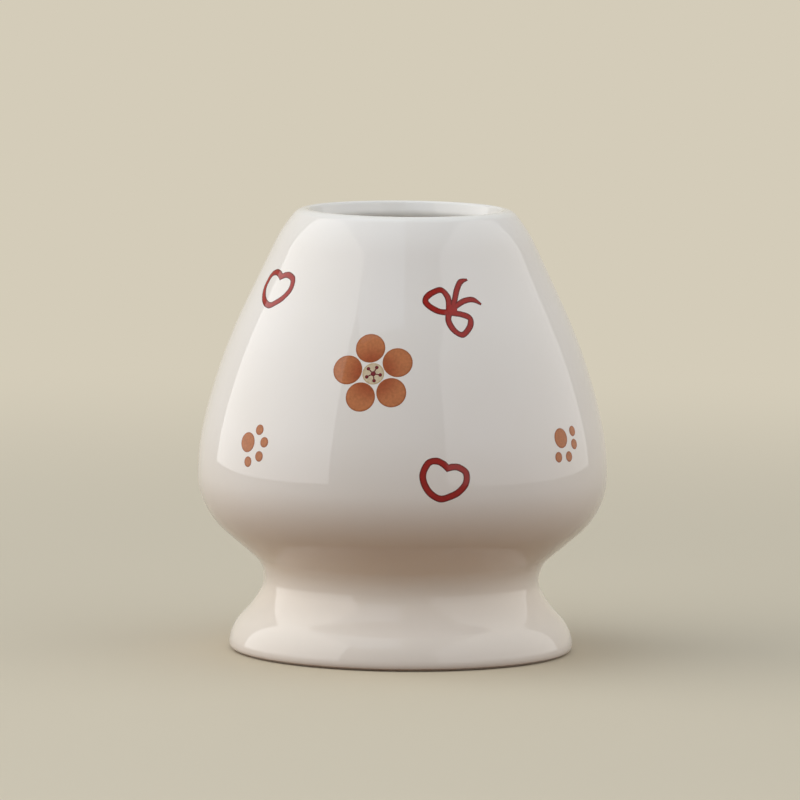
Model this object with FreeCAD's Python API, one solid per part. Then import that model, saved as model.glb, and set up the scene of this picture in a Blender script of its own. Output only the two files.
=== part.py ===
import FreeCAD, Part
import math
import os

# Tea whisk holder: a hollow porcelain bulb on a waisted, flared foot, slip-cast in one piece, with small
# ornaments printed on its flank. The whisk is set over the mouth to dry, so that its tines keep their shape.
# Lengths are millimetres and angles are degrees. The origin is on the table under the middle of the foot,
# Z is up, and the front looks along -Y.

Vector = FreeCAD.Vector
ORIGIN = Vector(0, 0, 0)
UP = Vector(0, 0, 1)

# Outside of the body
height = 72.0
crest_radius = 16.2
belly_radius = 33.3
belly_height = 28.8
waist_radius = 22.4
waist_height = 11.6
foot_radius = 28.0
foot_edge_height = 1.1
foot_edge_angle = 55.0

# Places on the outline, as shares of the way across and down from one of the sizes above to the next
shoulder_shares = (0.2924, 0.1331)
flank_bend_shares = (0.5492, 0.3472)
underbelly_shares = (0.4128, 0.5494)
underside_corner_shares = (1.0, 0.866)
flare_shares = (0.607, 0.557)
flare_aim_shares = (1.0, 0.763)

# A bent stretch of outline is two arcs that run on into each other. A share is the first one's part of it
lip_bend_share = 0.281
flank_bend_share = 0.696
belly_bend_share = 0.508
waist_bend_share = 0.225
flare_bend_share = 0.85

# Inside of the body, which follows the outside as far as the underbelly and then slopes on to a floor
wall = 2.8
floor_thickness = 3.5
floor_above_waist = 1.9
floor_corner_reach = 1.5

# Underside of the body: a hollow foot that stands on its rim
foot_rim_width = 3.2
neck_wall = 3.6

# Ink of the ornaments, fired proud of the glaze
ink_thickness = 0.1

upper_heart_width = 8.2
upper_heart_height = 5.7
lower_heart_width = 7.2
lower_heart_height = 5.7
heart_line = 0.95
# Middle of the heart's drawn line, from the cleft round to the cleft, in halves of its width and height
heart_shares = [(0.02, 0.76), (-0.24, 0.94), (-0.56, 1.0), (-0.88, 0.77), (-1.0, 0.10), (-0.80, -0.46),
                (-0.44, -0.85), (0.02, -1.0), (0.42, -0.75), (0.76, -0.38), (0.98, 0.18), (0.88, 0.74),
                (0.52, 0.94), (0.24, 0.90), (0.02, 0.76)]

bow_size = 9.8
bow_line = 0.85
bow_tip_width = 0.4
bow_knot_radius = 0.9
# Middles of the bow's drawn lines, in halves of its size: two loops, and two tails that start at the knot
bow_knot_shares = (0.01, -0.05)
bow_loop_shares = [
    [(-0.10, -0.15), (-0.06, 0.24), (-0.11, 0.46), (-0.28, 0.64), (-0.57, 0.56), (-0.77, 0.42),
     (-0.83, 0.26), (-0.69, 0.07), (-0.42, -0.10), (-0.10, -0.15)],
    [(-0.10, -0.15), (0.29, -0.21), (0.56, -0.31), (0.62, -0.45), (0.53, -0.69), (0.27, -0.92), (0.0, -0.76),
     (-0.15, -0.44), (-0.10, -0.15)],
]
bow_tail_shares = [
    [(0.02, -0.02), (0.15, 0.29), (0.28, 0.64), (0.44, 0.88), (0.61, 0.95)],
    [(0.02, -0.04), (0.24, 0.11), (0.47, 0.24), (0.74, 0.29), (0.99, 0.20)],
]

paw_pad_radius = 1.58
paw_toe_radius = 0.81
paw_toe_reach = 3.42
paw_toe_angles = (-60.0, -20.0, 20.0, 60.0)

petal_count = 5
petal_radius = 2.38
petal_reach = 4.25
blossom_centre_radius = 1.75
stamen_radius = 0.36
stamen_reach = 1.15
pistil_radius = 0.42

# Where each ornament stands: angle round the flank from the front, share of the height, turn of the drawing
upper_heart_place_shares = (-58.0, 0.831, 0.0)
lower_heart_place_shares = (11.5, 0.433, -14.0)
bow_place_shares = (17.4, 0.807, 0.0)
left_paw_place_shares = (-49.5, 0.4995, -107.0)
right_paw_place_shares = (51.3, 0.5146, -135.6)
blossom_place_shares = (-9.5, 0.6664, 10.0)

# Falls of the outline below the level line, going out from the crest
level_angle = 0.0
upright_angle = 90.0
inward_angle = 180.0


def profile_point(radius, level):
    """A point of the profile, which is drawn in the XZ plane."""
    return Vector(radius, 0, level)


def ahead(fall):
    """The way the outline runs where it has this fall."""
    return profile_point(math.cos(math.radians(fall)), -math.sin(math.radians(fall)))


def outward(fall):
    """Square to the outline, out of the body."""
    return profile_point(math.sin(math.radians(fall)), math.cos(math.radians(fall)))


def between(start, end, shares):
    """The place these shares of the way across and down from one station of the outline to another."""
    return tuple(first + (last - first) * share for first, last, share in zip(start, end, shares))


def aimed(place, target):
    """The station at a place where the outline heads straight for a target: radius, level and fall."""
    return *place, math.degrees(math.atan2(place[1] - target[1], target[0] - place[0]))


def step_in(station, inset):
    """A station moved into the body, square to the outline. A negative inset moves it out."""
    moved = profile_point(*station[:2]) - outward(station[2]) * inset
    return moved.x, moved.z, station[2]


def crossing(station, level):
    """The place where the straight line through a station reaches a level."""
    radius, start_level, fall = station
    return radius + (start_level - level) / math.tan(math.radians(fall)), level


def meeting(start, end, share):
    """The station where two arcs meet that leave the start and reach the end along the outline there."""
    first, last = profile_point(*start[:2]), profile_point(*end[:2])
    leave, arrive = ahead(start[2]), ahead(end[2])
    ratio = share / (1 - share)
    span = last - first
    bend = 2 * ratio * (leave.dot(arrive) - 1)
    pull = 2 * span.dot(leave * ratio + arrive)
    reach = 2 * span.dot(span) / (pull + math.sqrt(pull ** 2 - 4 * bend * span.dot(span)))
    near, far = first + leave * (ratio * reach), last - arrive * reach
    place = near * (1 - share) + far * share
    return place.x, place.z, math.degrees(math.atan2(near.z - far.z, far.x - near.x))


def arc(start, end):
    """The arc of the profile from one station to the next."""
    first, last = profile_point(*start[:2]), profile_point(*end[:2])
    turn = math.remainder(end[2] - start[2], 360)
    bulge = (last - first).Length / 2 * math.tan(math.radians(turn) / 4)
    return Part.Arc(first, (first + last) / 2 + outward(start[2] + turn / 2) * bulge, last)


def straight(start, end):
    """The straight line of the profile from one station to the next."""
    return Part.LineSegment(profile_point(*start[:2]), profile_point(*end[:2]))


def run(start, end, share, inset=0.0):
    """Two arcs of the profile between two stations, or the arcs that follow them inside the body."""
    stations = [step_in(station, inset) for station in (start, meeting(start, end, share), end)]
    return [arc(a, b) for a, b in zip(stations, stations[1:])]


def rounded_corner(start, corner, reach, fall):
    """A straight line towards a corner, and the arc that turns it there to a new fall."""
    before = profile_point(*corner) - ahead(start[2]) * reach
    after = profile_point(*corner) + ahead(fall) * reach
    turning = (before.x, before.z, start[2])
    return [straight(start, turning), arc(turning, (after.x, after.z, fall))]


def turned(edges):
    """The solid swept when a closed profile is turned once round the Z axis."""
    return Part.Face(Part.Wire(Part.__sortEdges__(edges))).revolve(ORIGIN, UP, 360)


def flank(inset):
    """The side that carries the ornaments, from the shoulder to the underbelly."""
    upper = straight(step_in(shoulder, inset), step_in(flank_bend, inset))
    middle = run(flank_bend, belly, flank_bend_share, inset)
    return [upper, *middle, *run(belly, underbelly, belly_bend_share, inset)]


def build_body():
    """Lip, bulb, waist, foot and floor in one piece, from one closed profile."""
    rim_radius = foot_radius - foot_edge_height * math.tan(math.radians(foot_edge_angle) / 2)
    foot_rim = (rim_radius, 0.0, upright_angle + foot_edge_angle)
    corner_above_waist = underside_corner[1] - waist_height
    neck = rounded_corner(underbelly, underside_corner, corner_above_waist, upright_angle)
    foot = [*run(waist, flare, waist_bend_share), *run(flare, foot_edge, flare_bend_share),
            arc(foot_edge, foot_rim)]
    outside = [*run(crest, shoulder, lip_bend_share), *flank(0.0), *neck, *foot]

    inner_shoulder = step_in(shoulder, wall)
    going_up = (*inner_shoulder[:2], inner_shoulder[2] + inward_angle)
    lip_corner = crossing(inner_shoulder, height)
    lip = rounded_corner(going_up, lip_corner, crest_radius - lip_corner[0], level_angle)

    floor_level = waist_height + floor_above_waist
    inner_underbelly = step_in(underbelly, wall)
    floor_corner = crossing(inner_underbelly, floor_level)
    well = rounded_corner(inner_underbelly, floor_corner, floor_corner_reach, inward_angle)
    inside = [*lip, *flank(wall), *well]

    hollow_level = floor_level - floor_thickness
    floor_edge = (floor_corner[0] - floor_corner_reach, floor_level)
    corners = [foot_rim, (rim_radius - foot_rim_width, 0.0), (waist_radius - neck_wall, hollow_level),
               (0.0, hollow_level), (0.0, floor_level), floor_edge]
    base = [straight(a, b) for a, b in zip(corners, corners[1:])]
    return turned([curve.toShape() for curve in [*outside, *inside, *base]])


def build_ink_coat():
    """A coat as thick as the ink, all round the side. The ornaments are cut from it."""
    inner, outer = flank(0.0), flank(-ink_thickness)
    ends = [Part.LineSegment(inner[0].StartPoint, outer[0].StartPoint),
            Part.LineSegment(inner[-1].EndPoint, outer[-1].EndPoint)]
    return turned([curve.toShape() for curve in [*inner, *outer, *ends]]).toNurbs()


def flank_frame(angle, level):
    """A frame on the flank: x along it, y up its slope, and z straight out of it."""
    level_line = Part.Line(profile_point(0, level), profile_point(belly_radius, level))
    curve, meet = [(c, hit) for c in flank(0.0) for hit in c.intersectCC(level_line)][0]
    place = Vector(meet.X, meet.Y, meet.Z)
    down_slope = Vector(*curve.tangent(curve.parameter(place))[0])
    spin = FreeCAD.Rotation(UP, angle - 90.0)
    up_slope = spin.multVec(down_slope * -1.0)
    along = spin.multVec(Vector(0, 1, 0))
    turn = FreeCAD.Rotation(along, up_slope, along.cross(up_slope), "ZYX")
    return FreeCAD.Placement(spin.multVec(place), turn)


def laid_on(drawing, place_shares, coat):
    """The ink of a flat drawing, thrown straight onto the flank and cut from the coat."""
    angle, level_share, turn = place_shares
    frame = flank_frame(angle, level_share * height)
    reach = waist_radius / 2
    shift = FreeCAD.Placement(Vector(0, 0, -reach), FreeCAD.Rotation(UP, turn))
    prisms = [face.extrude(Vector(0, 0, 2 * reach)) for face in drawing]
    joined = prisms[0].multiFuse(prisms[1:]).removeSplitter()
    joined.Placement = frame.multiply(shift)
    return joined.common(coat)


def flat_face(*outlines):
    """A flat face inside the first outline and outside the others."""
    wires = [Part.Wire(Part.__sortEdges__(edges)) for edges in outlines]
    return Part.makeFace(wires, "Part::FaceMakerBullseye")


def drawn_points(shares, half_width, half_height):
    """The points of a drawn line, from shares of the ornament's halves."""
    return [Vector(x * half_width, y * half_height, 0) for x, y in shares]


def smooth_edges(points):
    """Cubic curves through points. Each handle is a sixth of the line between the points beside it."""
    before = [points[0], *points[:-1]]
    after = [*points[1:], points[-1]]
    handles = [(b - a) / 6 for a, b in zip(before, after)]
    edges = []
    for k in range(len(points) - 1):
        curve = Part.BezierCurve()
        curve.setPoles([points[k], points[k] + handles[k], points[k + 1] - handles[k + 1], points[k + 1]])
        edges.append(curve.toShape())
    return edges


def beside(points, offsets, arrives, leaves):
    """Points moved to the left of a line by their offsets, with a mitre where it turns a corner."""
    moved = []
    for point, offset, arrive, leave in zip(points, offsets, arrives, leaves):
        left = UP.cross(arrive).normalize() + UP.cross(leave).normalize()
        moved.append(point + left * (2 * offset / left.Length ** 2))
    return moved


def closed_band(points, width):
    """The band of ink along a closed line, which has one corner, where it starts and ends."""
    spans = [b - a for a, b in zip(points, points[1:])]
    through = [a + b for a, b in zip(spans, spans[1:])]
    arrives, leaves = [spans[-1], *through, spans[-1]], [spans[0], *through, spans[0]]
    sides = [beside(points, [side * width / 2] * len(points), arrives, leaves) for side in (-1, 1)]
    return flat_face(*[smooth_edges(side) for side in sides])


def tapered_band(points, width, tip_width):
    """The band of ink along an open line, narrowing evenly to its tip."""
    spans = [b - a for a, b in zip(points, points[1:])]
    along = [spans[0], *[a + b for a, b in zip(spans, spans[1:])], spans[-1]]
    halves = [(width + (tip_width - width) * k / len(spans)) / 2 for k in range(len(points))]
    left = beside(points, halves, along, along)
    right = beside(points, [-half for half in halves], along, along)
    ends = [Part.makeLine(left[0], right[0]), Part.makeLine(left[-1], right[-1])]
    return flat_face([*smooth_edges(left), *smooth_edges(right), *ends])


def spot_outline(x, y, radius):
    """The outline of a round spot."""
    return [Part.makeCircle(radius, Vector(x, y, 0)).Edges[0]]


def spots(angles, reach, radius):
    """Outlines of round spots about the drawing's middle. Angles turn left from straight up."""
    turns = [math.radians(angle) for angle in angles]
    return [spot_outline(-reach * math.sin(turn), reach * math.cos(turn), radius) for turn in turns]


def draw_heart(width, tallness):
    """An outlined heart with a sharp cleft and a soft tip."""
    return [closed_band(drawn_points(heart_shares, width / 2, tallness / 2), heart_line)]


def draw_bow():
    """A ribbon bow: two loops, a knot and two tails that narrow to their tips."""
    half = bow_size / 2
    loops = [closed_band(drawn_points(shares, half, half), bow_line) for shares in bow_loop_shares]
    tails = [tapered_band(drawn_points(shares, half, half), bow_line, bow_tip_width)
             for shares in bow_tail_shares]
    knot = flat_face(spot_outline(bow_knot_shares[0] * half, bow_knot_shares[1] * half, bow_knot_radius))
    return [*loops, *tails, knot]


def draw_paw():
    """A paw print: one pad and four toes."""
    pad = flat_face(spot_outline(0, 0, paw_pad_radius))
    return [pad, *[flat_face(toe) for toe in spots(paw_toe_angles, paw_toe_reach, paw_toe_radius)]]


def draw_blossom():
    """A plum blossom in three inks: petals, a centre with holes, and the stamens that fill the holes."""
    around = [360 / petal_count * k for k in range(petal_count)]
    petals = [flat_face(petal) for petal in spots(around, petal_reach, petal_radius)]
    stamens = [*spots([angle + 180 / petal_count for angle in around], stamen_reach, stamen_radius),
               spot_outline(0, 0, pistil_radius)]
    centre = [flat_face(spot_outline(0, 0, blossom_centre_radius), *stamens)]
    return petals, centre, [flat_face(stamen) for stamen in stamens]


crest = (crest_radius, height, level_angle)
belly = (belly_radius, belly_height, upright_angle)
waist = (waist_radius, waist_height, upright_angle)
foot_edge = (foot_radius, foot_edge_height, upright_angle)
flank_bend_place = between(crest, belly, flank_bend_shares)
shoulder = aimed(between(crest, belly, shoulder_shares), flank_bend_place)
flank_bend = (*flank_bend_place, shoulder[2])
underside_corner = between(belly, waist, underside_corner_shares)
underbelly = aimed(between(belly, waist, underbelly_shares), underside_corner)
flare = aimed(between(waist, foot_edge, flare_shares), between(waist, foot_edge, flare_aim_shares))

petals, blossom_centre, stamens = draw_blossom()
upper_heart = draw_heart(upper_heart_width, upper_heart_height)
lower_heart = draw_heart(lower_heart_width, lower_heart_height)
ornaments = {
    "upper_heart": (upper_heart, upper_heart_place_shares),
    "lower_heart": (lower_heart, lower_heart_place_shares),
    "bow": (draw_bow(), bow_place_shares),
    "left_paw": (draw_paw(), left_paw_place_shares),
    "right_paw": (draw_paw(), right_paw_place_shares),
    "blossom_petals": (petals, blossom_place_shares),
    "blossom_centre": (blossom_centre, blossom_place_shares),
    "blossom_stamens": (stamens, blossom_place_shares),
}

ink_coat = build_ink_coat()
pieces = {"porcelain_body": build_body()}
for name, (drawing, place_shares) in ornaments.items():
    pieces[name] = laid_on(drawing, place_shares, ink_coat)

os.makedirs("parts", exist_ok=True)
for node, shape in pieces.items():
    shape.exportStep(f"parts/{node}.step")
    print(f"{node}: {len(shape.Solids)} solids, {shape.Volume:.2f} mm3, valid {shape.isValid()}")
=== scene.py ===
import math

import bpy
import numpy as np
from mathutils import Matrix, Vector


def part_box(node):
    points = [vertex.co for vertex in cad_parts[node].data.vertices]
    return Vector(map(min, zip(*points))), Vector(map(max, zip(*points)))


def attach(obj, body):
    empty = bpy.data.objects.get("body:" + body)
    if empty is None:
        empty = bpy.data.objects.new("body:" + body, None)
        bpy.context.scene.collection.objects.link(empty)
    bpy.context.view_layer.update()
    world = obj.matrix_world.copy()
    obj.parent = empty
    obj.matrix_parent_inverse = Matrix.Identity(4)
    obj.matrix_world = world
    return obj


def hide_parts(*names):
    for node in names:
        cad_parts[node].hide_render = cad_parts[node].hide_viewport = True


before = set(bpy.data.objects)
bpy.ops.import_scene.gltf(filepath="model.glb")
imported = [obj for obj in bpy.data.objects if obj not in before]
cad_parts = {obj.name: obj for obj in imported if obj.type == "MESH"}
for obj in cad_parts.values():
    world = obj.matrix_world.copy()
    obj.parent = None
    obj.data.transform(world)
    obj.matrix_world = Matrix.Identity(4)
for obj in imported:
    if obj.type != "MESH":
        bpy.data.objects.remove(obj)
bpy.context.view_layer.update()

# A glazed porcelain tea whisk holder with small fired prints. Lengths are metres and angles are degrees.
# A station of the outline is a radius, a level and a fall. The fall is how far the outline points below the
# level line, going outwards over the lip and down the outside.
MM = 0.001
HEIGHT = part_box("porcelain_body")[1].z
BELLY_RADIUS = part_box("porcelain_body")[1].x
BELLY_HEIGHT = 28.8 * MM
CREST_RADIUS = 16.2 * MM
WAIST_RADIUS = 22.4 * MM
WAIST_HEIGHT = 11.6 * MM
FOOT_RADIUS = 28.0 * MM
FOOT_EDGE_HEIGHT = 1.1 * MM
FOOT_EDGE_ANGLE = 55.0
WALL = 2.8 * MM
FLOOR_THICKNESS = 3.5 * MM
FLOOR_ABOVE_WAIST = 1.9 * MM
FLOOR_CORNER_REACH = 1.5 * MM
FOOT_RIM_WIDTH = 3.2 * MM
NECK_WALL = 3.6 * MM

# The mouth was trimmed with a cut that leans out from its lower corner to the lip
MOUTH_RADIUS = 15.8 * MM
MOUTH_CUT_RADIUS = 14.9 * MM
MOUTH_CUT_DEPTH = 2.1 * MM
MOUTH_CUT_REACH = 0.75 * MM

# Shares of the way across and down from one of those sizes to the next
SHOULDER = (0.2924, 0.1331)
FLANK_BEND = (0.5492, 0.3472)
UNDERBELLY = (0.4128, 0.5494)
UNDERSIDE_CORNER = (1.0, 0.866)
FLARE = (0.607, 0.557)
FLARE_AIM = (1.0, 0.763)

# Two arcs make each bend. The share is the first one's part of it
LIP_BEND, FLANK_TURN, BELLY_BEND, WAIST_BEND, FLARE_BEND = 0.281, 0.696, 0.508, 0.225, 0.85

# The glaze ends short of the rim that the holder was fired on, with a small step down to bare clay
GLAZE_THICKNESS = 0.12 * MM
GLAZE_END_ANGLE = 32.0
RIM_CORNER_REACH = 0.5 * MM
RIM_BEND = 0.5
HOLLOW_GLAZE_LEVEL = 1.3 * MM
HOLLOW_CORNER_REACH = 1.4 * MM

# Longest step along the outline, widest step round an arc, and the steps round the body
ROW_STEP = 0.62 * MM
ROW_ANGLE = 4.0
SECTIONS = 224


def heading(fall):
    """Unit vector along the outline, (cos fall, -sin fall) as radius and level."""
    return np.array([math.cos(math.radians(fall)), -math.sin(math.radians(fall))])


def step_in(station, inset):
    """The station moved by inset against the outline's normal, which is (sin fall, cos fall)."""
    fall = math.radians(station[2])
    return station[0] - inset * math.sin(fall), station[1] - inset * math.cos(fall), station[2]


def between(start, end, shares):
    """start + (end - start) * shares, for radius and level."""
    return np.asarray(start[:2]) + np.subtract(end[:2], start[:2]) * shares


def aimed(place, target):
    """The station at a place whose fall is the angle of the line from there to the target."""
    return (*place, math.degrees(math.atan2(place[1] - target[1], target[0] - place[0])))


def crossing(station, level):
    """Radius and level where the station's tangent reaches a level."""
    return station[0] + (station[1] - level) / math.tan(math.radians(station[2])), level


def straight(start, end):
    """Points of the line from start to end at even steps, with the start left out."""
    rows = max(1, math.ceil(math.dist(start[:2], end[:2]) / ROW_STEP))
    shares = np.linspace(0, 1, rows + 1)[1:, None]
    return np.asarray(start[:2]) * (1 - shares) + np.asarray(end[:2]) * shares


def arc(start, end):
    """Points of the arc from start to end, with the start left out.

    The fall grows evenly. The chord from the start to where the fall has grown by t radians is
    2 R sin(t / 2) long and points along the start's fall plus t / 2.
    """
    turn = math.remainder(end[2] - start[2], 360)
    radius = math.dist(start[:2], end[:2]) / (2 * math.sin(math.radians(turn) / 2))
    rows = max(2, math.ceil(radius * math.radians(turn) / ROW_STEP), math.ceil(abs(turn) / ROW_ANGLE))
    turned = np.radians(np.linspace(0, turn, rows + 1)[1:])
    falls = math.radians(start[2]) + turned / 2
    chords = 2 * radius * np.sin(turned / 2)
    return np.asarray(start[:2]) + chords[:, None] * np.stack([np.cos(falls), -np.sin(falls)], 1)


def bend(start, end, share, inset=0.0):
    """Points of two arcs that leave the start and reach the end along the outline, moved in by inset.

    They meet on the line from start + ratio * reach * leave to end - reach * arrive, where leave and arrive
    are the unit headings, ratio is share / (1 - share), and reach makes that line (1 + ratio) * reach long.
    """
    first, last = np.array(start[:2]), np.array(end[:2])
    leave, arrive = heading(start[2]), heading(end[2])
    ratio = share / (1 - share)
    span = last - first
    square = 2 * ratio * (leave @ arrive - 1)
    pull = 2 * span @ (leave * ratio + arrive)
    reach = 2 * span @ span / (pull + math.sqrt(pull ** 2 - 4 * square * (span @ span)))
    near, far = first + leave * ratio * reach, last - arrive * reach
    middle = aimed(near * (1 - share) + far * share, far * (1 + share) - near * share)
    stations = [step_in(station, inset) for station in (start, middle, end)]
    return np.concatenate([arc(a, b) for a, b in zip(stations, stations[1:])])


def rounded_corner(start, corner, reach, fall):
    """A line towards a corner, and the arc from reach before it to reach after it that has a new fall."""
    before = (*(np.asarray(corner) - heading(start[2]) * reach), start[2])
    after = (*(np.asarray(corner) + heading(fall) * reach), fall)
    return np.concatenate([straight(start, before), arc(before, after)])


crest = (CREST_RADIUS, HEIGHT, 0.0)
belly = (BELLY_RADIUS, BELLY_HEIGHT, 90.0)
waist = (WAIST_RADIUS, WAIST_HEIGHT, 90.0)
foot_edge = (FOOT_RADIUS, FOOT_EDGE_HEIGHT, 90.0)
flank_bend_place = between(crest, belly, FLANK_BEND)
shoulder = aimed(between(crest, belly, SHOULDER), flank_bend_place)
flank_bend = (*flank_bend_place, shoulder[2])
underside_corner = between(belly, waist, UNDERSIDE_CORNER)
underbelly = aimed(between(belly, waist, UNDERBELLY), underside_corner)
flare = aimed(between(waist, foot_edge, FLARE), between(waist, foot_edge, FLARE_AIM))
floor_level = WAIST_HEIGHT + FLOOR_ABOVE_WAIST


def side(inset):
    """The side from the end of the straight flank round the belly to the underbelly, moved in by inset."""
    return np.concatenate([bend(flank_bend, belly, FLANK_TURN, inset),
                           bend(belly, underbelly, BELLY_BEND, inset)])


def flank():
    """The outside from the shoulder down to the underbelly."""
    return np.concatenate([[shoulder[:2]], straight(shoulder, flank_bend), side(0.0)])


def inside_outline():
    """From the floor's middle outwards, up the inside to the mouth's cut and over to the lip's crest."""
    inner_bend, inner_underbelly = step_in(flank_bend, WALL), step_in(underbelly, WALL)
    floor_corner = crossing(inner_underbelly, floor_level)
    well = rounded_corner(inner_underbelly, floor_corner, FLOOR_CORNER_REACH, 180.0)
    floor = straight((0.0, floor_level), well[-1])
    cut_corner = aimed((MOUTH_CUT_RADIUS, HEIGHT - MOUTH_CUT_DEPTH), (MOUTH_RADIUS, HEIGHT))
    cut = rounded_corner(aimed(inner_bend[:2], cut_corner), cut_corner[:2], MOUTH_CUT_REACH, cut_corner[2])
    lip_reach = CREST_RADIUS - MOUTH_RADIUS
    lip = rounded_corner((*cut[-1], cut_corner[2]), (MOUTH_RADIUS, HEIGHT), lip_reach, 0.0)
    return np.concatenate([floor, well[-2::-1], side(WALL)[::-1], [inner_bend[:2]], cut, lip])


def outside_outline():
    """From the lip down the outside to where the glaze ends on the round foot edge."""
    neck = rounded_corner(underbelly, underside_corner, underside_corner[1] - WAIST_HEIGHT, 90.0)
    return np.concatenate([bend(crest, shoulder, LIP_BEND), flank()[1:], neck,
                           bend(waist, flare, WAIST_BEND), bend(flare, foot_edge, FLARE_BEND),
                           arc(foot_edge, round_foot(GLAZE_END_ANGLE))])


def round_foot(turn):
    """The station where the foot's edge has turned in so far. Its radius is its height / sin(whole turn)."""
    radius = FOOT_EDGE_HEIGHT / math.sin(math.radians(FOOT_EDGE_ANGLE))
    return (FOOT_RADIUS - radius * (1 - math.cos(math.radians(turn))),
            FOOT_EDGE_HEIGHT - radius * math.sin(math.radians(turn)), 90.0 + turn)


def rim_outline():
    """Bare clay: a step in from the glaze, a round corner down to the flat rim, and one up into the hollow.

    It comes with the station that the slope of the hollow starts from.
    """
    clay_edge = step_in(round_foot(GLAZE_END_ANGLE), GLAZE_THICKNESS)
    rim_radius = round_foot(FOOT_EDGE_ANGLE)[0]
    outer = bend(clay_edge, (rim_radius - RIM_CORNER_REACH, 0.0, 180.0), RIM_BEND)
    inner_radius = rim_radius - FOOT_RIM_WIDTH
    hollow = aimed((inner_radius, 0.0), (WAIST_RADIUS - NECK_WALL, floor_level - FLOOR_THICKNESS))
    clay_corner = (inner_radius + GLAZE_THICKNESS, 0.0)
    inner = rounded_corner((*outer[-1], 180.0), clay_corner, RIM_CORNER_REACH, hollow[2])
    rise = straight(inner[-1], crossing((*clay_corner, hollow[2]), HOLLOW_GLAZE_LEVEL))
    return np.concatenate([[clay_edge[:2]], outer, inner, rise]), hollow


def hollow_outline(hollow):
    """Glaze under the holder: up the slope of the hollow foot and in to its middle."""
    start = (*crossing(hollow, HOLLOW_GLAZE_LEVEL), hollow[2])
    corner = (WAIST_RADIUS - NECK_WALL, floor_level - FLOOR_THICKNESS)
    slope = rounded_corner(start, corner, HOLLOW_CORNER_REACH, 180.0)
    return np.concatenate([[start[:2]], slope, straight(slope[-1], (0.0, corner[1]))[:-1]])


def skin(name, rings, loop=False):
    """A closed mesh through rings of points, an array of rings by points by 3. Each ring closes on itself.

    The rings join in order, and the last joins the first in a loop. Otherwise a pole at the mean of each end
    ring closes the mesh. A face's normal is the way along the rings crossed with the way round them.
    """
    count, around = rings.shape[:2]
    corners = np.arange(count * around).reshape(count, around)
    ahead = np.roll(corners, -1, axis=0) if loop else corners[1:]
    here = corners if loop else corners[:-1]
    quads = np.stack([here, ahead, np.roll(ahead, -1, 1), np.roll(here, -1, 1)], -1).reshape(-1, 4)
    points = rings.reshape(-1, 3)
    caps = []
    if not loop:
        first, last = corners[0], corners[-1]
        poles = np.stack([rings[0].mean(0), rings[-1].mean(0)])
        start, end = len(points), len(points) + 1
        points = np.concatenate([points, poles])
        caps = [(start, a, b) for a, b in zip(first.tolist(), np.roll(first, -1).tolist())]
        caps += [(end, b, a) for a, b in zip(last.tolist(), np.roll(last, -1).tolist())]
    mesh = bpy.data.meshes.new(name)
    mesh.from_pydata(points.tolist(), [], quads.tolist() + caps)
    mesh.shade_smooth()
    piece = bpy.data.objects.new(name, mesh)
    bpy.context.scene.collection.objects.link(piece)
    return piece


def turned_body(name):
    """The outline turned about Z: x = r sin a, y = -r cos a, z = level. Clay takes the second material."""
    rim, hollow = rim_outline()
    glazed = np.concatenate([inside_outline(), outside_outline()])
    outline = np.concatenate([glazed, rim, hollow_outline(hollow)])
    angles = np.linspace(0, 2 * math.pi, SECTIONS, endpoint=False)
    radius, level = outline[:, 0, None], outline[:, 1, None]
    rings = np.stack([radius * np.sin(angles), -radius * np.cos(angles), level + 0 * angles], -1)
    piece = skin(name, rings)
    row = np.arange(len(outline) - 1)
    bare = (row >= len(glazed)) & (row < len(glazed) + len(rim) - 1)
    materials = np.zeros(len(piece.data.polygons), np.int32)
    materials[:len(row) * SECTIONS] = np.repeat(bare, SECTIONS)
    piece.data.polygons.foreach_set("material_index", materials)
    return piece


# Ornaments. Each is drawn flat, x along the flank and y up its slope, and then thrown straight onto the
# glaze. A place is the angle round the flank from the front, the share of the height, and the drawing's turn.
PLACES = {
    "upper_heart": (-58.5, 0.831, 0.0),
    "lower_heart": (11.5, 0.4345, -14.0),
    "bow": (17.4, 0.807, 0.0),
    "left_paw": (-49.5, 0.4995, -107.0),
    "right_paw": (51.3, 0.5146, -135.6),
    "blossom": (-9.5, 0.6664, 10.0),
}

# How far the ink stands above the glaze and reaches into it, and how wide its darker edge is
INK_HEIGHT = 0.03 * MM
INK_DEPTH = 0.03 * MM
INK_EDGE_WIDTH = 0.34 * MM

# Shares of the ink's height. Where drawings cross, the one on top is thicker
LOOP_RISE = 0.85
KNOT_RISE = 1.15
FILAMENT_RISE = 1.8
STAMEN_RISE = 2.0

UPPER_HEART_SIZE = (7.8 * MM, 5.65 * MM)
LOWER_HEART_SIZE = (7.2 * MM, 5.7 * MM)
HEART_LINE = 1.1 * MM
# Middle of the heart's drawn line, from the cleft round to the cleft, in halves of its width and height
HEART_POINTS = [(0.02, 0.76), (-0.24, 0.94), (-0.56, 1.0), (-0.88, 0.77), (-1.0, 0.10), (-0.80, -0.46),
                (-0.44, -0.85), (0.02, -1.0), (0.42, -0.75), (0.76, -0.38), (0.98, 0.18), (0.88, 0.74),
                (0.52, 0.94), (0.24, 0.90), (0.02, 0.76)]

BOW_SIZE = 9.8 * MM
BOW_LINE = 1.02 * MM
BOW_KNOT_RADIUS = 0.9 * MM
# A drawn tail starts a little narrower than its line, is full at this share of its length, and ends in a tip
TAIL_ROOT_SHARE = 0.9
TAIL_FULL_SHARE = 0.72
TAIL_TIP_WIDTH = 0.4 * MM
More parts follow.
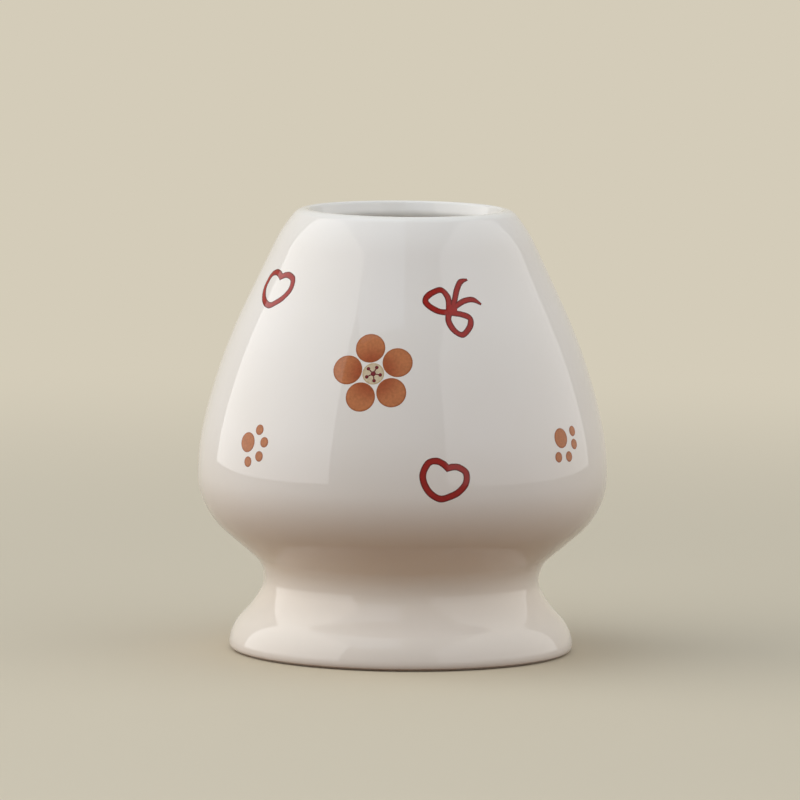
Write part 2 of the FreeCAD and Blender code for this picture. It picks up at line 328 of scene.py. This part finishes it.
# Middles of the bow's knot, loops and tails, in halves of its size
BOW_KNOT = (0.01, -0.05)
BOW_LOOPS = [
    [(-0.10, -0.15), (-0.06, 0.24), (-0.11, 0.46), (-0.28, 0.64), (-0.57, 0.56), (-0.77, 0.42),
     (-0.83, 0.26), (-0.69, 0.07), (-0.42, -0.10), (-0.10, -0.15)],
    [(-0.10, -0.15), (0.29, -0.21), (0.56, -0.31), (0.62, -0.45), (0.53, -0.69), (0.27, -0.92),
     (0.0, -0.76), (-0.15, -0.44), (-0.10, -0.15)],
]
BOW_TAILS = [
    [(0.02, -0.02), (0.15, 0.29), (0.27, 0.64), (0.44, 0.92), (0.68, 1.0)],
    [(0.02, -0.04), (0.24, 0.12), (0.50, 0.26), (0.80, 0.30), (1.07, 0.15)],
]

PAW_PAD_RADIUS = 1.62 * MM
PAW_TOE_RADIUS = 0.85 * MM
# Middles of the toes, in millimetres from the pad's middle
LEFT_TOES = [(-2.81, 1.55), (-1.44, 3.50), (1.02, 3.48), (2.79, 1.45)]
RIGHT_TOES = [(-3.08, 1.73), (-1.58, 3.23), (1.04, 3.30), (2.90, 1.35)]

PETALS = 5
PETAL_RADIUS = 2.38 * MM
PETAL_REACH = 4.25 * MM
BLOSSOM_CENTRE_RADIUS = 1.75 * MM
PISTIL_RADIUS = 0.42 * MM
STAMEN_RADIUS = 0.3 * MM
STAMEN_REACH = 1.15 * MM
FILAMENT_WIDTH = 0.2 * MM

# Fineness of the drawn shapes, and the halvings that find the glaze under a point
CURVE_STEPS = 8
SECTION_POINTS = 24
SPOT_RINGS = 30
SPOT_POINTS = 72
SEEK_STEPS = 40

flank_line = flank()[::-1]


def flank_radius(level):
    """Radius of the glaze at a level, read from the flank's own points."""
    return np.interp(level, flank_line[:, 1], flank_line[:, 0])


def laid_on_glaze(drawing, place):
    """Points drawn as x, y and height, in space.

    The frame stands on the flank: x along it, y up its slope and z straight out. Each x and y follows z to
    where sqrt(X^2 + Y^2) is the glaze's radius at Z, found by halving, and its height is added along z.
    """
    angle, level_share, turn = place
    level = level_share * HEIGHT
    step = ROW_STEP / 2
    above, below = level + step, level - step
    fall = aimed((flank_radius(above), above), (flank_radius(below), below))[2]
    bearing, slope, spin = math.radians(angle), math.radians(fall), math.radians(turn)
    out = np.array([math.sin(bearing), -math.cos(bearing), 0.0])
    along = np.array([math.cos(bearing), math.sin(bearing), 0.0])
    up = np.array([0, 0, math.sin(slope)]) - out * math.cos(slope)
    normal = out * math.sin(slope) + np.array([0, 0, math.cos(slope)])
    x = drawing[..., 0] * math.cos(spin) - drawing[..., 1] * math.sin(spin)
    y = drawing[..., 0] * math.sin(spin) + drawing[..., 1] * math.cos(spin)
    middle = out * flank_radius(level) + np.array([0, 0, level])
    flat = middle + x[..., None] * along + y[..., None] * up
    low, high = np.full(x.shape, -BELLY_RADIUS / 2), np.full(x.shape, BELLY_RADIUS / 2)
    for _ in range(SEEK_STEPS):
        depth = (low + high) / 2
        found = flat + depth[..., None] * normal
        outside = np.hypot(found[..., 0], found[..., 1]) > flank_radius(found[..., 2])
        low, high = np.where(outside, low, depth), np.where(outside, depth, high)
    return flat + (depth + drawing[..., 2])[..., None] * normal


def ink_rise(across):
    """Height of the ink's skin for across from -1 to 1: (1 - across^4)^(1/4), flat with soft edges."""
    return np.power(1 - np.clip(np.abs(across), 0, 1) ** 4, 0.25)


def smooth_line(points):
    """Cubic curves through points. Each handle is a sixth of the line between the points beside it."""
    points = np.asarray(points)
    before, after = np.concatenate([points[:1], points[:-1]]), np.concatenate([points[1:], points[-1:]])
    handles = (after - before) / 6
    t = np.linspace(0, 1, CURVE_STEPS, endpoint=False)[:, None, None]
    start, end = points[:-1], points[1:]
    near, far = start + handles[:-1], end - handles[1:]
    curve = start * (1 - t) ** 3 + 3 * near * t * (1 - t) ** 2 + 3 * far * t ** 2 * (1 - t) + end * t ** 3
    return np.concatenate([curve.transpose(1, 0, 2).reshape(-1, 2), points[-1:]])


def beside(points, offsets, arrive, leave):
    """Points moved to the left of a line by their offsets, with a mitre where it turns a corner."""
    ways = [way / np.linalg.norm(way, axis=1)[:, None] for way in (arrive, leave)]
    left = sum(np.stack([-way[:, 1], way[:, 0]], 1) for way in ways)
    return points + left * (2 * offsets / (left ** 2).sum(1))[:, None]


def stroke(points, width, tip_width=None, rise=1.0):
    """Rings of a pen stroke: a flat oval section carried along a line.

    With no tip width the line closes on itself with one corner, where it starts, and the rings leave out the
    last point. The section is across = cos t and height = the ink's rise, up for sin t > 0 and down below it.
    A point is x, y, height and its distance in from the stroke's edge.
    """
    points = np.asarray(points)
    spans = np.diff(points, axis=0)
    through = spans[:-1] + spans[1:]
    if tip_width is None:
        arrive = np.concatenate([spans[-1:], through, spans[-1:]])
        leave = np.concatenate([spans[:1], through, spans[:1]])
        halves = np.full(len(points), width / 2)
    else:
        arrive = leave = np.concatenate([spans[:1], through, spans[-1:]])
        along = np.linspace(0, 1, len(points))
        halves = np.interp(along, (0, TAIL_FULL_SHARE, 1), (width * TAIL_ROOT_SHARE, width, tip_width)) / 2
    left, right = (smooth_line(beside(points, hand * halves, arrive, leave)) for hand in (1, -1))
    if tip_width is None:
        left, right = left[:-1], right[:-1]
    t = np.linspace(0, 2 * math.pi, SECTION_POINTS, endpoint=False)
    across = np.cos(t)
    lift = np.where(np.sin(t) > 0, INK_HEIGHT * rise, -INK_DEPTH) * ink_rise(across)
    middle, half = (left + right) / 2, (left - right) / 2
    flat = middle[:, None] - half[:, None] * across[None, :, None]
    height = np.broadcast_to(lift, flat.shape[:2])
    edge = np.linalg.norm(half, axis=1)[:, None] * (1 - np.abs(across))
    return np.concatenate([flat, height[..., None], edge[..., None]], -1)


def spot(x, y, radius, rise=1.0):
    """Rings of a round spot from the middle of its top, out to its edge and back underneath.

    With t from 0 to half a turn, the ring's radius is radius * sin t, and its height the ink's rise there.
    A point is x, y, height and its distance in from the spot's edge.
    """
    t = np.linspace(0, math.pi, SPOT_RINGS + 2)[1:-1]
    around = np.linspace(0, 2 * math.pi, SPOT_POINTS, endpoint=False)
    reach = np.sin(t)[:, None]
    lift = (np.where(np.cos(t) > 0, INK_HEIGHT * rise, -INK_DEPTH) * ink_rise(np.sin(t)))[:, None]
    flat_x, flat_y = x + radius * reach * np.cos(around), y + radius * reach * np.sin(around)
    return np.stack([flat_x, flat_y, lift + 0 * around, radius * (1 - reach) + 0 * around], -1)


def add_attribute(piece, key, values, loop):
    """A value for each point of a skin, from an array of rings by points. A pole takes its ring's mean."""
    poles = [] if loop else [values[0].mean(), values[-1].mean()]
    attribute = piece.data.attributes.new(key, "FLOAT", "POINT")
    attribute.data.foreach_set("value", np.concatenate([values.ravel(), poles]).astype(np.float32))


def printed(name, shapes, place):
    """One ornament's shapes laid on the glaze and joined. A shape is its rings, and whether they are a loop.

    The attribute edge is each point's distance in from the ink's edge, and reach is the one from the middle.
    """
    skins = []
    for k, (rings, loop) in enumerate(shapes):
        skins.append(skin(f"{name}_{k}", laid_on_glaze(rings[..., :3], place), loop))
        add_attribute(skins[-1], "edge", rings[..., 3], loop)
        add_attribute(skins[-1], "reach", np.hypot(rings[..., 0], rings[..., 1]), loop)
    piece = skins[0]
    if len(skins) > 1:
        with bpy.context.temp_override(active_object=piece, selected_editable_objects=skins):
            bpy.ops.object.join()
    piece.name = piece.data.name = name
    return piece


def heart(size):
    """An outlined heart with a sharp cleft and a soft tip."""
    return [(stroke(np.array(HEART_POINTS) * size / 2, HEART_LINE), True)]


def bow():
    """A ribbon bow: two loops, two tails that narrow to their tips, and a knot on top with no dark edge."""
    half = BOW_SIZE / 2
    loops = [(stroke(np.array(points) * half, BOW_LINE, rise=LOOP_RISE), True) for points in BOW_LOOPS]
    tails = [(stroke(np.array(points) * half, BOW_LINE, TAIL_TIP_WIDTH), False) for points in BOW_TAILS]
    knot = spot(BOW_KNOT[0] * half, BOW_KNOT[1] * half, BOW_KNOT_RADIUS, KNOT_RISE)
    knot[..., 3] += INK_EDGE_WIDTH
    return [*loops, *tails, (knot, False)]


def spots(middles, radius, rise=1.0):
    """Round spots of one size."""
    return [(spot(x, y, radius, rise), False) for x, y in middles]


def paw(toes):
    """A paw print: one pad and four toes."""
    return spots([(0.0, 0.0)], PAW_PAD_RADIUS) + spots(np.array(toes) * MM, PAW_TOE_RADIUS)


def spread(reach, first_angle=0.0):
    """As many places as petals, evenly round the blossom. Angles turn left from straight up."""
    angles = np.radians(first_angle + 360 / PETALS * np.arange(PETALS))
    return np.stack([-reach * np.sin(angles), reach * np.cos(angles)], 1)


def stamens():
    """A pistil and the stamens between the petals, on filaments that start inside the pistil."""
    tips = spread(STAMEN_REACH, 180 / PETALS)
    roots = spread(PISTIL_RADIUS / 2, 180 / PETALS)
    lines = [(root, (root + tip) / 2, tip) for root, tip in zip(roots, tips)]
    filaments = [(stroke(line, FILAMENT_WIDTH, FILAMENT_WIDTH, FILAMENT_RISE), False) for line in lines]
    pistil = spots([(0.0, 0.0)], PISTIL_RADIUS, STAMEN_RISE)
    return spots(tips, STAMEN_RADIUS, STAMEN_RISE) + pistil + filaments


def linear(colour):
    """An sRGB hex colour as linear red, green, blue and alpha."""
    parts = [int(colour[k:k + 2], 16) / 255 for k in (0, 2, 4)]
    return (*[part / 12.92 if part <= 0.04045 else ((part + 0.055) / 1.055) ** 2.4 for part in parts], 1.0)


def add_node(tree, kind, settings=None, **inputs):
    """A node of a kind with its settings, its inputs set to values or linked from sockets.

    An input goes by its name, or by its number after an underscore.
    """
    node = tree.nodes.new(kind)
    for key, value in (settings or {}).items():
        setattr(node, key, value)
    for key, value in inputs.items():
        socket = node.inputs[int(key[1:]) if key[1:].isdigit() else key.replace("_", " ")]
        if isinstance(value, bpy.types.NodeSocket):
            tree.links.new(value, socket)
        else:
            socket.default_value = value
    return node


def new_material(name):
    """An empty material with nodes and its output."""
    material = bpy.data.materials.new(name)
    material.use_nodes = True
    material.node_tree.nodes.clear()
    return material, material.node_tree


# Glaze: the width of its clouds of tone, of its ripples and of its more and less polished patches, the height
# of the ripples, its roughness, and the levels between which a painted warm light from the floor fades in
GLAZE_CLOUD = 14.0 * MM
GLAZE_RIPPLE = 7.0 * MM
GLAZE_RIPPLE_HEIGHT = 0.012 * MM
GLAZE_PATCH = 5.0 * MM
GLAZE_ROUGHNESS = (0.01, 0.035)
PAINTED_WARM_LIGHT_LEVELS = (34.0 * MM, 16.0 * MM)


def glazed_porcelain():
    """Slip-cast white porcelain under a clear gloss glaze, IOR 1.5: sharp reflections on a clean white body.

    The glaze lies a little unevenly, which bends the reflections. From under the belly to the foot its colour
    is
    painted creamier: painted warm light that stands in for the light thrown up from the floor.
    """
    material, tree = new_material("glazed_porcelain")
    place = add_node(tree, "ShaderNodeTexCoord").outputs["Object"]
    cloud = add_node(tree, "ShaderNodeTexNoise", Vector=place, Scale=1 / GLAZE_CLOUD,
                     Detail=2.0).outputs["Fac"]
    thin = add_node(tree, "ShaderNodeMix", {"data_type": "RGBA"}, Factor=cloud, _6=linear("F6EEE0"),
                    _7=linear("FAF3E8")).outputs[2]
    level = add_node(tree, "ShaderNodeSeparateXYZ", Vector=place).outputs["Z"]
    # Painted warm bounce light: the colour turns creamier from under the belly down to the foot
    painted_warm_light = add_node(tree, "ShaderNodeMapRange", {"interpolation_type": "SMOOTHSTEP"}, Value=level,
                        _1=PAINTED_WARM_LIGHT_LEVELS[0], _2=PAINTED_WARM_LIGHT_LEVELS[1]).outputs[0]
    colour = add_node(tree, "ShaderNodeMix", {"data_type": "RGBA"}, Factor=painted_warm_light, _6=thin,
                      _7=linear("F7EBDA")).outputs[2]
    ripple = add_node(tree, "ShaderNodeTexNoise", Vector=place, Scale=1 / GLAZE_RIPPLE,
                      Detail=1.0).outputs["Fac"]
    bump = add_node(tree, "ShaderNodeBump", Height=ripple, Distance=GLAZE_RIPPLE_HEIGHT,
                    Strength=1.0).outputs["Normal"]
    polish = add_node(tree, "ShaderNodeTexNoise", Vector=place, Scale=1 / GLAZE_PATCH,
                      Detail=3.0).outputs["Fac"]
    rough = add_node(tree, "ShaderNodeMapRange", Value=polish, _3=GLAZE_ROUGHNESS[0],
                     _4=GLAZE_ROUGHNESS[1]).outputs[0]
    shader = add_node(tree, "ShaderNodeBsdfPrincipled", Base_Color=colour, Roughness=rough, Normal=bump,
                      IOR=1.5)
    add_node(tree, "ShaderNodeOutputMaterial", Surface=shader.outputs[0])
    return material


# Bare clay: the width and height of its grains
CLAY_GRAIN = 0.5 * MM
CLAY_GRAIN_HEIGHT = 0.03 * MM


def bare_porcelain():
    """Unglazed fired porcelain on the rim: matt, faintly warm, finely sandy and a little grey from use.

    The grain is drawn several times too coarse, because the real one is too fine to show.
    """
    material, tree = new_material("bare_porcelain")
    place = add_node(tree, "ShaderNodeTexCoord").outputs["Object"]
    grain = add_node(tree, "ShaderNodeTexNoise", Vector=place, Scale=1 / CLAY_GRAIN,
                     Detail=4.0).outputs["Fac"]
    colour = add_node(tree, "ShaderNodeMix", {"data_type": "RGBA"}, Factor=grain, _6=linear("CFC4B4"),
                      _7=linear("E6DED2")).outputs[2]
    bump = add_node(tree, "ShaderNodeBump", Height=grain, Distance=CLAY_GRAIN_HEIGHT,
                    Strength=1.0).outputs["Normal"]
    shader = add_node(tree, "ShaderNodeBsdfPrincipled", Base_Color=colour, Roughness=0.75, Normal=bump,
                      IOR=1.5)
    add_node(tree, "ShaderNodeOutputMaterial", Surface=shader.outputs[0])
    return material


# Ink: the width of its mottle, the noise that the mottle spans, how dark and light it goes, and how far from
# the drawing's middle the deep colour starts and ends to fade
INK_MOTTLE = 0.45 * MM
INK_MOTTLE_NOISE = (0.25, 0.75)
INK_MOTTLE_VALUE = (0.86, 1.14)
DEEP_COLOUR_REACH = (1.9 * MM, 5.4 * MM)


def fired_ink(name, colour, edge_colour, deep_colour=None):
    """Enamel transfer print fired under gloss: dense colour, darker where it gathers at its edge.

    The print's fine screen leaves it a little mottled. A deep colour fades out from the drawing's middle. The
    IOR is 1.4, a little under the glaze's, because the pale surround veils dark ink more than a room does.
    """
    material, tree = new_material(name)
    place = add_node(tree, "ShaderNodeTexCoord").outputs["Object"]
    edge = add_node(tree, "ShaderNodeAttribute", {"attribute_name": "edge"}).outputs["Fac"]
    inside = add_node(tree, "ShaderNodeMapRange", {"interpolation_type": "SMOOTHSTEP"}, Value=edge, _1=0.0,
                      _2=INK_EDGE_WIDTH).outputs[0]
    full = linear(colour)
    if deep_colour:
        reach = add_node(tree, "ShaderNodeAttribute", {"attribute_name": "reach"}).outputs["Fac"]
        faded = add_node(tree, "ShaderNodeMapRange", {"interpolation_type": "SMOOTHSTEP"}, Value=reach,
                         _1=DEEP_COLOUR_REACH[0], _2=DEEP_COLOUR_REACH[1]).outputs[0]
        full = add_node(tree, "ShaderNodeMix", {"data_type": "RGBA"}, Factor=faded, _6=linear(deep_colour),
                        _7=full).outputs[2]
    base = add_node(tree, "ShaderNodeMix", {"data_type": "RGBA"}, Factor=inside, _6=linear(edge_colour),
                    _7=full).outputs[2]
    mottle = add_node(tree, "ShaderNodeTexNoise", Vector=place, Scale=1 / INK_MOTTLE,
                      Detail=3.0).outputs["Fac"]
    value = add_node(tree, "ShaderNodeMapRange", Value=mottle, _1=INK_MOTTLE_NOISE[0],
                     _2=INK_MOTTLE_NOISE[1], _3=INK_MOTTLE_VALUE[0], _4=INK_MOTTLE_VALUE[1]).outputs[0]
    shade = add_node(tree, "ShaderNodeHueSaturation", Value=value, Color=base).outputs[0]
    shader = add_node(tree, "ShaderNodeBsdfPrincipled", Base_Color=shade, Roughness=0.05, IOR=1.4)
    add_node(tree, "ShaderNodeOutputMaterial", Surface=shader.outputs[0])
    return material


def add_body():
    """The porcelain body, with glaze and bare clay."""
    body = turned_body("glazed_body")
    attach(body, "root")
    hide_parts("porcelain_body")
    body.data.materials.append(glazed_porcelain())
    body.data.materials.append(bare_porcelain())


def add_prints():
    """The fired prints: each one's drawing, place, node that it stands for, record's slot and ink."""
    inks = {
        "red_ink": fired_ink("red_ink", "A8100D", "640505"),
        "terracotta_ink": fired_ink("terracotta_ink", "C1733F", "A65A2D"),
        "petal_ink": fired_ink("petal_ink", "C6794A", "A65A2D", "A9502C"),
        "cream_ink": fired_ink("cream_ink", "DCC8A4", "C9AF86"),
        "wine_ink": fired_ink("wine_ink", "86202E", "6A1622"),
    }
    petals, centre = spots(spread(PETAL_REACH), PETAL_RADIUS), spots([(0.0, 0.0)], BLOSSOM_CENTRE_RADIUS)
    prints = {
        "upper_heart_print": (heart(UPPER_HEART_SIZE), "upper_heart", "upper_heart", "red_ink", "red_ink"),
        "lower_heart_print": (heart(LOWER_HEART_SIZE), "lower_heart", "lower_heart", "red_ink", "red_ink"),
        "bow_print": (bow(), "bow", "bow", "red_ink", "red_ink"),
        "left_paw_print": (paw(LEFT_TOES), "left_paw", "left_paw", "terracotta_ink", "terracotta_ink"),
        "right_paw_print": (paw(RIGHT_TOES), "right_paw", "right_paw", "terracotta_ink", "terracotta_ink"),
        "petals_print": (petals, "blossom", "blossom_petals", "terracotta_ink", "petal_ink"),
        "centre_print": (centre, "blossom", "blossom_centre", "cream_ink", "cream_ink"),
        "stamens_print": (stamens(), "blossom", "blossom_stamens", "wine_ink", "wine_ink"),
    }
    for name, (shapes, place, node, slot, ink) in prints.items():
        piece = printed(name, shapes, PLACES[place])
        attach(piece, "root")
        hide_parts(node)
        piece.data.materials.append(inks[ink])


# Camera, fitted to the photograph's outline. It looks down a little and is turned a touch
CAMERA_PLACE = (-0.537 * MM, -1300.0 * MM, 178.72 * MM)
CAMERA_PITCH = 6.0576
CAMERA_ROLL = 0.6108
FOCAL_PIXELS = 8036.0
PICTURE_PIXELS = 800
SENSOR_WIDTH = 36.0


def add_camera():
    """The photograph's camera."""
    data = bpy.data.cameras.new("camera")
    data.sensor_width = SENSOR_WIDTH
    data.lens = FOCAL_PIXELS / PICTURE_PIXELS * SENSOR_WIDTH
    camera = bpy.data.objects.new("camera", data)
    tip = Matrix.Rotation(math.radians(90.0 - CAMERA_PITCH), 4, "X")
    roll = Matrix.Rotation(math.radians(CAMERA_ROLL), 4, "Z")
    camera.matrix_world = Matrix.Translation(CAMERA_PLACE) @ tip @ roll
    bpy.context.scene.collection.objects.link(camera)
    bpy.context.scene.camera = camera


# Studio: a wide soft panel on each side, one overhead, a pale floor and a pale surround. A panel is two
# opposite corners, its radiance and its colour. The cool light from above is the top panel's and the sky's.
PANEL_DISTANCE = 0.6
PANEL_REAR = 0.455
LAMP_COLOUR = "FFFFFF"
SKY_COLOUR = "DCEAFF"
PANELS = {
    "left_panel": ((-PANEL_DISTANCE, -0.69, 0.0), (-PANEL_DISTANCE, PANEL_REAR, 0.9), 1.42, LAMP_COLOUR),
    "right_panel": ((PANEL_DISTANCE, -1.3, 0.0), (PANEL_DISTANCE, PANEL_REAR, 1.02), 0.76, LAMP_COLOUR),
    "top_panel": ((-PANEL_DISTANCE, -0.95, 0.9), (0.0, PANEL_REAR, 0.9), 0.72, SKY_COLOUR),
}
# The light from above is full where its direction's Z passes this share, and none at the horizon
SKY_RISE = 0.45
SKY_STRENGTH = 0.53
SURROUND_COLOUR = "D4CCB9"
# The floor is one colour where it is seen and another where it lights the object, and it turns into the
# surround's colour between two distances
FLOOR_SIZE = 8.0
FLOOR_COLOUR = "D6C8AC"
FLOOR_BOUNCE_COLOUR = "724B18"
FLOOR_FADE = (0.12, 0.45)


def add_panel(name, low, high, radiance, colour):
    """A rectangular area light between two corners of a box with no thickness, facing the object.

    Its power is radiance * pi * area, so that a mirror shows it at that brightness.
    """
    low, high = Vector(low), Vector(high)
    size = high - low
    middle = (low + high) / 2
    light = bpy.data.lights.new(name, "AREA")
    light.shape = "RECTANGLE"
    thin = min(range(3), key=lambda k: size[k])
    facing = Vector([-middle[k] if k == thin else 0.0 for k in range(3)]).normalized()
    turn = facing.to_track_quat("-Z", "Y").to_matrix()
    light.size, light.size_y = (abs(turn.col[k].dot(size)) for k in range(2))
    light.energy = radiance * math.pi * light.size * light.size_y
    light.color = linear(colour)[:3]
    panel = bpy.data.objects.new(name, light)
    panel.matrix_world = Matrix.Translation(middle) @ turn.to_4x4()
    panel.visible_camera = False
    bpy.context.scene.collection.objects.link(panel)


def seen_directly(tree):
    """1 where a surface is seen, directly or mirrored in the glaze, and 0 where it lights the object."""
    rays = add_node(tree, "ShaderNodeLightPath").outputs
    either = add_node(tree, "ShaderNodeMath", {"operation": "MAXIMUM"}, _0=rays["Is Camera Ray"],
                      _1=rays["Is Glossy Ray"]).outputs[0]
    return add_node(tree, "ShaderNodeMath", {"operation": "MAXIMUM"}, _0=either,
                    _1=rays["Is Transmission Ray"]).outputs[0]


def add_floor():
    """A plain pale floor that takes the object's shadow and throws up a little warm light.

    Further off it turns into the surround's own colour, so that no edge shows.
    """
    bpy.ops.mesh.primitive_plane_add(size=FLOOR_SIZE)
    floor = bpy.context.object
    floor.name = "floor"
    material, tree = new_material("pale_floor")
    seen = seen_directly(tree)
    colour = add_node(tree, "ShaderNodeMix", {"data_type": "RGBA"}, Factor=seen,
                      _6=linear(FLOOR_BOUNCE_COLOUR), _7=linear(FLOOR_COLOUR)).outputs[2]
    near = add_node(tree, "ShaderNodeBsdfPrincipled", Base_Color=colour, Roughness=0.8, IOR=1.45).outputs[0]
    far = add_node(tree, "ShaderNodeEmission", Color=linear(SURROUND_COLOUR)).outputs[0]
    place = add_node(tree, "ShaderNodeTexCoord").outputs["Object"]
    distance = add_node(tree, "ShaderNodeVectorMath", {"operation": "LENGTH"}, _0=place).outputs["Value"]
    away = add_node(tree, "ShaderNodeMapRange", {"interpolation_type": "SMOOTHSTEP"}, Value=distance,
                    _1=FLOOR_FADE[0], _2=FLOOR_FADE[1]).outputs[0]
    share = add_node(tree, "ShaderNodeMath", {"operation": "MULTIPLY"}, _0=away, _1=seen).outputs[0]
    surface = add_node(tree, "ShaderNodeMixShader", _0=share, _1=near, _2=far).outputs[0]
    add_node(tree, "ShaderNodeOutputMaterial", Surface=surface)
    floor.data.materials.append(material)


def add_surround():
    """A pale surround where it is seen, and a soft light from above that fades towards the horizon."""
    world = bpy.data.worlds.new("surround")
    bpy.context.scene.world = world
    world.use_nodes = True
    tree = world.node_tree
    tree.nodes.clear()
    seen = seen_directly(tree)
    direction = add_node(tree, "ShaderNodeTexCoord").outputs["Generated"]
    height = add_node(tree, "ShaderNodeSeparateXYZ", Vector=direction).outputs["Z"]
    strength = add_node(tree, "ShaderNodeMapRange", Value=height, _1=0.0, _2=SKY_RISE, _3=0.0,
                        _4=SKY_STRENGTH).outputs[0]
    sky = add_node(tree, "ShaderNodeBackground", Color=linear(SKY_COLOUR), Strength=strength).outputs[0]
    shown = add_node(tree, "ShaderNodeBackground", Color=linear(SURROUND_COLOUR)).outputs[0]
    surface = add_node(tree, "ShaderNodeMixShader", _0=seen, _1=sky, _2=shown).outputs[0]
    add_node(tree, "ShaderNodeOutputWorld", Surface=surface)


add_body()
add_prints()
add_camera()
bpy.context.scene.view_settings.view_transform = "Standard"
for name, panel in PANELS.items():
    add_panel(name, *panel)
add_floor()
add_surround()
